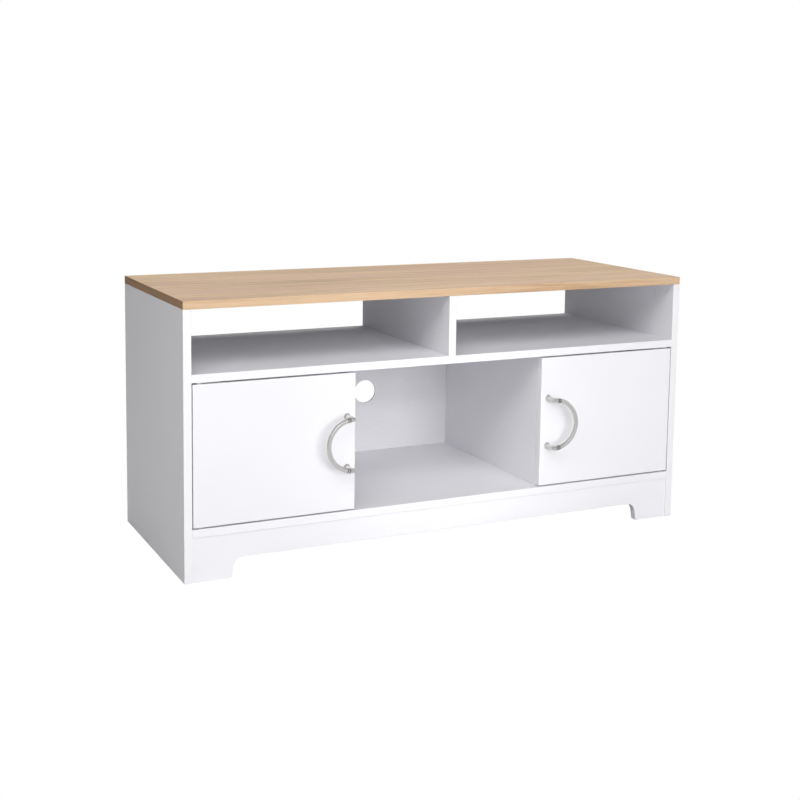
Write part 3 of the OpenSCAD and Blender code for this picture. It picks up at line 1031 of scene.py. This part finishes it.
@dataclass
class Apron(Board):
    """The shaped board under the front of the base shelf.

    Attributes:
        foot_w: Width of a foot at the floor.
        flare: How much wider a foot is where its curve starts.
        curve_r: Radius of the hollow curve.
        rise: Height of the opening.
        curve_steps: Faces along a curve.
    """

    node: str = "front_apron"
    foot_w: float = 73.0 * MM
    flare: float = 3.0 * MM
    curve_r: float = 20.0 * MM
    rise: float = 36.5 * MM
    curve_steps: int = 14

    def outline(self) -> bmesh.types.BMesh:
        """The apron's shape: a plate with an opening whose two inner corners are hollow curves.

        Returns:
            The apron's sharp shape.
        """
        low, high = self.low, self.high
        foot_x = high.x - self.foot_w
        bend_x, bend_z = foot_x - self.flare, self.rise - self.curve_r
        bm = bmesh.new()
        half = [(0.0, high.z), (high.x, high.z), (high.x, low.z), (foot_x, low.z), (bend_x, bend_z)]
        verts = [bm.verts.new((x, low.y, z)) for x, z in half]
        for pair in zip(verts, verts[1:]):
            bm.edges.new(pair)
        spun = bmesh.ops.spin(bm, geom=verts[-1:], cent=(bend_x - self.curve_r, low.y, bend_z),
                              axis=(0.0, -1.0, 0.0), angle=math.pi / 2, steps=self.curve_steps)
        bm.edges.new(only_verts(spun["geom_last"]) + [bm.verts.new((0.0, low.y, self.rise))])
        bmesh.ops.mirror(bm, geom=bm.verts[:] + bm.edges[:], axis="X", merge_dist=1e-6)
        bmesh.ops.contextual_create(bm, geom=bm.edges[:])
        grown = bmesh.ops.extrude_face_region(bm, geom=bm.faces[:])
        bmesh.ops.translate(bm, vec=(0.0, high.y - low.y, 0.0), verts=only_verts(grown["geom"]))
        bmesh.ops.recalc_face_normals(bm, faces=bm.faces)
        return bm


@dataclass
class BackPanel:
    """The thin back panel with its cable hole, white inside and raw brown behind.

    Attributes:
        node: The CAD node that it stands for.
        hole_r: Radius of the cable hole.
        ease: Radius of its edges.
        over: How far the hole's cutter runs past each face.
    """

    node: str = "back_panel"
    hole_r: float = 25.0 * MM
    ease: float = 0.3 * MM
    over: float = 2.0 * MM

    def build(self) -> bpy.types.Object:
        """Shapes the panel, cuts the hole and breaks its rim.

        Returns:
            The finished panel.
        """
        low, high = corners(self.node)
        mount = next(m for m in frame["record"]["mounts"] if m["name"] == "cable_hole")
        centre = Vector(mount["pos_m"])
        bm = box_mesh(low, high)
        soften(bm, sharp_edges(bm), self.ease, 2)
        sides = [BACK_WHITE.material(), BACK_BROWN.material()]
        piece = to_object(bm, "back_panel_sheet", sides, smooth=False)
        start = Vector((centre.x, low.y - self.over, centre.z))
        through = high.y - low.y + 2 * self.over
        hole = drill_mesh(start, Vector((0.0, 1.0, 0.0)), self.hole_r, through, 96)
        carve(piece, [hole], BACK_BROWN)
        flatten_faces(piece)
        for polygon in piece.data.polygons:
            polygon.material_index = 0 if polygon.normal.y < -FACING else 1
        return declare(piece, "root", "back_hardboard", self.node)


# ---------------------------------------------------------------------------------------------------
# Handles
# ---------------------------------------------------------------------------------------------------


@dataclass
class ArchHandle:
    """A half-round arch on two turned posts.

    Attributes:
        side: The door that it is on.
        pitch: Distance between its posts.
        standoff: Distance from the door to the arch's middle.
        inset: Distance from the door's free edge to the posts.
        arch_w: Width of the arch's oval section, along the door.
        arch_d: Depth of the section, away from the door.
        post_r: Radius of a post.
        section_steps: Faces round the section.
        arch_steps: Faces along the arch.
        turned_steps: Facets round the turned pieces.
        ring_turns: Where the rings sit along the arch, in degrees from a post.
    """

    side: Side
    pitch: float = 96.0 * MM
    standoff: float = 28.0 * MM
    inset: float = 16.5 * MM
    arch_w: float = 9.0 * MM
    arch_d: float = 7.0 * MM
    post_r: float = 4.75 * MM
    section_steps: int = 28
    arch_steps: int = 72
    turned_steps: int = 40
    ring_turns: tuple[float, float] = (7.0, 12.0)

    def arch(self) -> bmesh.types.BMesh:
        """The bent bar: an oval section spun half a turn.

        Returns:
            The bar.
        """
        bm = bmesh.new()
        bmesh.ops.create_circle(bm, cap_ends=True, segments=self.section_steps, radius=0.5)
        bmesh.ops.rotate(bm, verts=bm.verts, cent=(0, 0, 0), matrix=Matrix.Rotation(math.pi / 2, 3, "Y"))
        bmesh.ops.scale(bm, vec=(1.0, self.arch_d, self.arch_w), verts=bm.verts)
        bmesh.ops.translate(bm, vec=(0.0, 0.0, self.pitch / 2), verts=bm.verts)
        bmesh.ops.spin(bm, geom=bm.faces[:] + bm.edges[:] + bm.verts[:], cent=(0, 0, 0), axis=(0, 1, 0),
                       angle=math.pi, steps=self.arch_steps)
        bmesh.ops.recalc_face_normals(bm, faces=bm.faces)
        return bm

    def post(self) -> bmesh.types.BMesh:
        """A turned post along +Z: a foot flange, a waist, a bead and a round head.

        Returns:
            The post.
        """
        r, length = self.post_r, self.standoff
        head = [(r * math.cos(turn), length + r * math.sin(turn))
                for turn in (math.radians(step) for step in range(0, 91, 10))]
        profile = [(0.0, 0.0), (r + 1.6 * MM, 0.0), (r + 1.75 * MM, 0.3 * MM), (r + 1.75 * MM, 1.7 * MM),
                   (r + 1.3 * MM, 2.3 * MM), (r + 0.2 * MM, 2.6 * MM), (r - 0.5 * MM, 4.5 * MM),
                   (r - 0.7 * MM, 0.45 * length), (r - 0.5 * MM, length - 8.5 * MM),
                   (r - 0.1 * MM, length - 7.6 * MM), (r + 0.2 * MM, length - 7.0 * MM),
                   (r + 0.2 * MM, length - 6.0 * MM), (r - 0.1 * MM, length - 5.4 * MM),
                   (r - 0.25 * MM, length - 4.8 * MM), (r - 0.05 * MM, length - 4.0 * MM)]
        return lathe(profile + head, self.turned_steps)

    def ring(self) -> bmesh.types.BMesh:
        """A rounded collar about Z, with a groove on each side of its crown whose faces carry painted
        shade (a near-black nickel finish).

        Returns:
            The collar.
        """
        outer, inner, half = self.post_r + 0.25 * MM, self.post_r - 1.2 * MM, 0.95 * MM
        groove, crown = self.post_r - 0.15 * MM, 0.55 * half
        upper = [(outer, 0.4 * crown), (outer - 0.1 * MM, 0.9 * crown), (groove, crown), (groove, half),
                 (inner, half), (0.0, half)]
        lower = [(radius, -height) for radius, height in reversed(upper)]
        bm = lathe(lower + upper, self.turned_steps)
        # Painted shade: the groove faces beside the crown take the near-black second finish in place of
        # real shade.
        for face in bm.faces:
            if abs(face.calc_center_median().z) > 0.95 * crown:
                face.material_index = 1
        return bm

    def build(self) -> bpy.types.Object:
        """Joins the arch, the posts and the rings, and sets them on the door.

        Returns:
            The finished handle.
        """
        bm = self.arch()
        for end in (-1, 1):
            post = self.post()
            stand = Matrix.Translation((0.0, self.standoff, end * self.pitch / 2))
            stand = stand @ Matrix.Rotation(math.pi / 2, 4, "X")
            bmesh.ops.transform(post, matrix=stand, verts=post.verts)
            merge_into(bm, post)
            for turn in self.ring_turns:
                ring = self.ring()
                along = Matrix.Rotation(math.pi / 2, 4, "Y")
                out = Matrix.Translation((0.0, 0.0, self.pitch / 2)) @ along
                swing = Matrix.Rotation(math.radians(turn), 4, "Y")
                flip = Matrix.Scale(end, 4, (0.0, 0.0, 1.0))
                bmesh.ops.transform(ring, matrix=flip @ swing @ out, verts=ring.verts)
                bmesh.ops.recalc_face_normals(ring, faces=ring.faces)
                merge_into(bm, ring)
        low, high = corners("door_" + self.side.word)
        free_x = low.x if self.side is Side.RIGHT else high.x
        at = Vector((free_x + self.side.value * self.inset, low.y - self.standoff, (low.z + high.z) / 2))
        mirror = Matrix.Scale(self.side.value, 4, (1.0, 0.0, 0.0))
        bmesh.ops.transform(bm, matrix=Matrix.Translation(at) @ mirror, verts=bm.verts)
        bmesh.ops.recalc_face_normals(bm, faces=bm.faces)
        word = self.side.word
        piece = to_object(bm, "handle_arch_" + word, [NICKEL.material(), NICKEL_GROOVE_SHADE.material()])
        return declare(piece, "door_" + word, "satin_nickel", "handle_" + word)


# ---------------------------------------------------------------------------------------------------
# Screws
# ---------------------------------------------------------------------------------------------------


@dataclass
class CrossScrews:
    """A group of countersunk screws with cross recesses.

    Attributes:
        node: The CAD node that they stand for.
        body: The body that they ride on.
        head_r: Radius of a head.
        shank_r: Radius of the thread's crests.
        head_t: Height of a head.
        finish: Their finish.
        thread_pitch: Distance between the thread's crests.
    """

    node: str
    body: str
    head_r: float
    shank_r: float
    head_t: float
    finish: Finish = ZINC
    thread_pitch: float = 1.3 * MM

    def shape(self, length: float) -> bmesh.types.BMesh:
        """One screw along +Z with its head's face at z = 0.

        Args:
            length: Its length.

        Returns:
            The screw without its recess.
        """
        r, crest = self.head_r, self.shank_r
        profile = [(0.0, 0.0), (r - 0.15 * MM, 0.0), (r, 0.12 * MM), (crest, self.head_t),
                   (0.8 * crest, self.head_t + 0.4 * MM)]
        height = self.head_t + 1.2 * MM
        while height < length - 2.5 * MM:
            profile += [(0.72 * crest, height), (crest, height + 0.5 * self.thread_pitch)]
            height += self.thread_pitch
        profile += [(0.5 * crest, length - 1.0 * MM), (0.0, length)]
        return lathe(profile, 20)

    def cross(self) -> bmesh.types.BMesh:
        """The tapered cross that the driver's recess is cut with, across z = 0.

        Returns:
            The cutter.
        """
        long, short, mouth_z = 0.62 * self.head_r, 0.14 * self.head_r, 0.3 * MM
        quarter = [(long, -short), (long, short), (short, short)]
        path = []
        for turn in range(4):
            swing = Matrix.Rotation(turn * math.pi / 2, 2)
            path += [swing @ Vector(point) for point in quarter]
        bm = bmesh.new()
        mouth = bm.faces.new([bm.verts.new((point.x, point.y, -mouth_z)) for point in path])
        grown = bmesh.ops.extrude_face_region(bm, geom=[mouth])
        floor = only_verts(grown["geom"])
        bmesh.ops.translate(bm, vec=(0.0, 0.0, mouth_z + 0.8 * self.head_t), verts=floor)
        bmesh.ops.scale(bm, vec=(0.55, 0.55, 1.0), verts=floor)
        bmesh.ops.recalc_face_normals(bm, faces=bm.faces)
        return bm

    def build(self) -> bpy.types.Object:
        """Makes every screw of the group where the frame has it.

        Returns:
            The finished group.
        """
        bm = bmesh.new()
        crosses = []
        for island in islands(self.node):
            screw = self.shape(island.length)
            turn = Vector((0.0, 0.0, 1.0)).rotation_difference(island.inward).to_matrix().to_4x4()
            move = Matrix.Translation(island.head_point) @ turn
            bmesh.ops.transform(screw, matrix=move, verts=screw.verts)
            merge_into(bm, screw)
            cross = self.cross()
            bmesh.ops.transform(cross, matrix=move, verts=cross.verts)
            crosses.append(cross)
        piece = to_object(bm, self.node + "_cross_head", [self.finish.material()])
        carve(piece, crosses, self.finish)
        flatten_faces(piece)
        return declare(piece, self.body, "zinc_fittings", self.node)


# ---------------------------------------------------------------------------------------------------
# Sub-assemblies
# ---------------------------------------------------------------------------------------------------


@dataclass
class Carcass:
    """The fixed boards with the fittings that join them.

    Attributes:
        white_boards: The plain boards in white.
        sunk: The fittings that are sunk into the boards.
    """

    white_boards: tuple[str, ...] = (
        "side_panel_left", "side_panel_right", "upper_shelf", "upper_divider",
        "lower_divider_left", "lower_divider_right", "base_shelf", "rear_rail")
    sunk: tuple[str, ...] = ("cam_locks",)

    def build(self) -> None:
        """Builds every fixed board and the back panel."""
        Board("top_board", slot="oak_board", face=OAK, strip=OAK_STRIP, end_strip=OAK_END_STRIP,
              under=WHITE).build()
        for name in self.white_boards:
            Board(name, fittings=self.sunk).build()
        Apron(fittings=self.sunk).build()
        BackPanel().build()

    def dress(self) -> None:
        """Gives the fixed fittings their finishes."""
        CrossScrews("divider_screws", "root", 4.8 * MM, 3.0 * MM, 2.6 * MM).build()
        CrossScrews("catch_screws", "root", 3.0 * MM, 1.6 * MM, 1.6 * MM).build()
        dress_nodes({"cam_bolts": ZINC, "cam_locks": ZINC, "cam_caps": CAP_PLASTIC, "dowels": BARE_BEECH,
                     "back_panel_nails": ZINC, "hinge_case_plates": HINGE_STEEL, "hinge_case_screws": ZINC,
                     "hinge_washers": NYLON, "catch_housings": CAP_PLASTIC, "catch_magnets": MAGNET})


@dataclass
class Door:
    """A door with its handle, hinge plates, strike plate and pads.

    Attributes:
        side: Which door it is.
    """

    side: Side

    def build(self) -> None:
        """Builds the door's board and handle."""
        body = "door_" + self.side.word
        Board(body, body=body).build()
        ArchHandle(self.side).build()

    def dress(self) -> None:
        """Builds the visible screws and gives the fittings their finishes."""
        word = self.side.word
        body = "door_" + word
        CrossScrews("handle_screws_" + word, body, 3.8 * MM, 1.9 * MM, 2.2 * MM).build()
        CrossScrews("strike_screw_" + word, body, 2.8 * MM, 1.5 * MM, 1.3 * MM).build()
        dress_nodes({"hinge_door_plates_" + word: HINGE_STEEL, "hinge_door_screws_" + word: ZINC,
                     "strike_plate_" + word: HINGE_STEEL, "door_bumpers_" + word: CLEAR_PAD})


def dress_nodes(finishes: dict[str, Finish]) -> None:
    """Gives CAD nodes that keep their shapes a finish.

    Args:
        finishes: The finish of each node.
    """
    for node, finish in finishes.items():
        mesh = frame["nodes"][node].data
        mesh.materials.clear()
        mesh.materials.append(finish.material())
        LOG.info("%s keeps its shape, finished in %s", node, finish.name)


# ---------------------------------------------------------------------------------------------------
# Studio
# ---------------------------------------------------------------------------------------------------


def hang_light(data: bpy.types.Light, at: Point, target: Point) -> bpy.types.Object:
    """Puts a light somewhere and turns it to a point.

    Args:
        data: The light.
        at: Its place.
        target: The point.

    Returns:
        The light's object.
    """
    light = bpy.data.objects.new(data.name, data)
    bpy.context.scene.collection.objects.link(light)
    light.location = at
    light.rotation_euler = (Vector(target) - Vector(at)).to_track_quat("-Z", "Y").to_euler()
    return light


@dataclass(frozen=True)
class SoftBox:
    """A rectangular soft light.

    Attributes:
        name: Its name.
        at: Its place.
        power: Its power in watts.
        size: Its width and height.
        target: The point that it faces.
        mirrored: True if shiny pieces show its reflection.
    """

    name: str
    at: Point
    power: float
    size: tuple[float, float] = (2.8, 1.6)
    target: Point = (0.0, 0.0, 0.25)
    mirrored: bool = False

    def hang(self) -> None:
        """Creates the light."""
        data = bpy.data.lights.new(self.name, "AREA")
        data.shape = "RECTANGLE"
        data.size, data.size_y = self.size
        data.energy = self.power
        hang_light(data, self.at, self.target).visible_glossy = self.mirrored


@dataclass(frozen=True)
class Spot:
    """A narrow soft spot.

    Attributes:
        name: Its name.
        at: Its place.
        power: Its power in watts.
        target: The point that it faces.
        cone: The full angle of its cone, in degrees.
        fade: How much of the cone fades out.
        radius: Radius of the lamp.
    """

    name: str
    at: Point
    power: float
    target: Point
    cone: float
    fade: float
    radius: float

    def hang(self) -> None:
        """Creates the light."""
        data = bpy.data.lights.new(self.name, "SPOT")
        data.energy = self.power
        data.spot_size = math.radians(self.cone)
        data.spot_blend = self.fade
        data.shadow_soft_size = self.radius
        hang_light(data, self.at, self.target)


LIGHTS = (
    SoftBox("front_low", (0.0, -3.2, 0.7), 49.0, (2.4, 1.2)),
    SoftBox("front_high", (0.2, -2.8, 3.0), 23.0),
    SoftBox("front_middle", (0.0, -3.2, 2.3), 9.0, (3.0, 1.6)),
    SoftBox("left_front", (-1.8, -2.4, 2.8), 46.0, (2.0, 1.6)),
    SoftBox("left_high", (-2.8, -1.0, 2.4), 25.0, (2.0, 1.6)),
    SoftBox("over_top", (0.9, 0.6, 2.9), 34.0, (1.6, 0.8), (0.15, 0.0, 0.5), mirrored=True),
    Spot("bay_spot", (-0.32, -2.5, 1.25), 62.0, (0.03, 0.0, 0.13), 12.5, 0.75, 0.18),
)


@dataclass
class Studio:
    """Pale floor, soft lights and the camera.

    Attributes:
        eye: The camera's place.
        yaw: Its turn to the right of +Y, in radians.
        pitch: How far it looks down, in radians.
        roll: Its turn about its own line of sight, in radians.
        lens: Focal length in millimetres on a 36 mm sensor.
        shift: Rise and shift of the lens.
        floor_reach: Half the floor's width.
        glow: The surround's strength.
        dome: Height, from level to straight up, and grey level of what shiny surfaces mirror.
        back_fade: Two places along Y and the dome's share of light at each.
        left_fade: Two places along X and the dome's share of light at each.
    """

    eye: Point = (-1.1739, -2.3340, 0.8172)
    yaw: float = 0.4319
    pitch: float = 0.1211
    roll: float = 0.0108
    lens: float = 58.599
    shift: tuple[float, float] = (0.0425, -0.15)
    floor_reach: float = 9.0
    glow: float = 1.6
    dome: tuple[tuple[float, float], ...] = (
        (0.0, 0.02), (0.06, 0.10), (0.16, 0.76), (0.36, 0.68), (0.46, 0.05), (1.0, 0.12))
    back_fade: tuple[float, float, float, float] = (0.0, 0.3, 1.0, 0.16)
    left_fade: tuple[float, float, float, float] = (-0.85, -0.55, 0.06, 1.0)

    def camera(self) -> None:
        """Creates the camera and makes it the scene's."""
        data = bpy.data.cameras.new("camera")
        data.sensor_width = 36.0
        data.lens = self.lens
        data.shift_x, data.shift_y = self.shift
        camera = bpy.data.objects.new("camera", data)
        bpy.context.scene.collection.objects.link(camera)
        level = Matrix.Rotation(-self.yaw, 4, "Z") @ Matrix.Rotation(math.pi / 2 - self.pitch, 4, "X")
        camera.matrix_world = Matrix.Translation(self.eye) @ level @ Matrix.Rotation(self.roll, 4, "Z")
        bpy.context.scene.camera = camera

    def floor(self) -> None:
        """Lays a wide pale floor that the camera sees as plain white."""
        bench = Bench(bpy.data.materials.new("studio_floor"))
        tone = bench.blend(bench.noise(bench.place(), 0.8, 2.0), (0.70, 0.70, 0.70), (0.72, 0.72, 0.72))
        matt = bench.value("ShaderNodeBsdfDiffuse", None, {"Color": tone, "Roughness": 0.5})
        glow = bench.value("ShaderNodeEmission", None, {"Strength": 1.0})
        seen = bench.value("ShaderNodeLightPath", output="Is Camera Ray")
        mix = bench.value("ShaderNodeMixShader", None, {0: seen, 1: matt, 2: glow})
        bench.node("ShaderNodeOutputMaterial", None, {"Surface": mix})
        bm = bmesh.new()
        bmesh.ops.create_grid(bm, x_segments=8, y_segments=8, size=self.floor_reach)
        bmesh.ops.translate(bm, vec=(0.0, 0.0, -0.2 * MM), verts=bm.verts)
        ground = to_object(bm, "studio_floor", [bench.owner], smooth=False)

    def surround(self) -> None:
        """Sets a surround that the camera sees as white and shiny surfaces as a grey dome."""
        world = bpy.data.worlds.new("surround")
        bench = Bench(world)
        way = bench.value("ShaderNodeTexCoord", output="Generated")
        across, back, up = (bench.value("ShaderNodeSeparateXYZ", None, {0: way}, axis.name)
                            for axis in Axis)
        dome = bench.ramp(up, [(height, (grey, grey, grey)) for height, grey in self.dome])
        dome = dome * bench.spread(back, *self.back_fade) * bench.spread(across, *self.left_fade)
        mirrored = dome * bench.value("ShaderNodeLightPath", output="Is Glossy Ray")
        seen = bench.value("ShaderNodeLightPath", output="Is Camera Ray")
        full = 1.0 / self.glow
        colour = bench.blend(seen, mirrored, (full, full, full))
        sky = bench.value("ShaderNodeBackground", None, {"Color": colour, "Strength": self.glow})
        bench.node("ShaderNodeOutputWorld", None, {"Surface": sky})
        bpy.context.scene.world = world

    def build(self) -> None:
        """Sets up the whole studio."""
        self.camera()
        self.floor()
        for light in LIGHTS:
            light.hang()
        self.surround()
        bpy.context.scene.view_settings.view_transform = "Standard"


def main() -> None:
    """Builds the studio, the carcass and both doors, and reports each piece."""
    logging.basicConfig(level=logging.INFO, format="%(message)s")
    Studio().build()
    carcass = Carcass()
    carcass.build()
    carcass.dress()
    for side in Side:
        door = Door(side)
        door.build()
        door.dress()


if __name__ == "__main__":
    main()
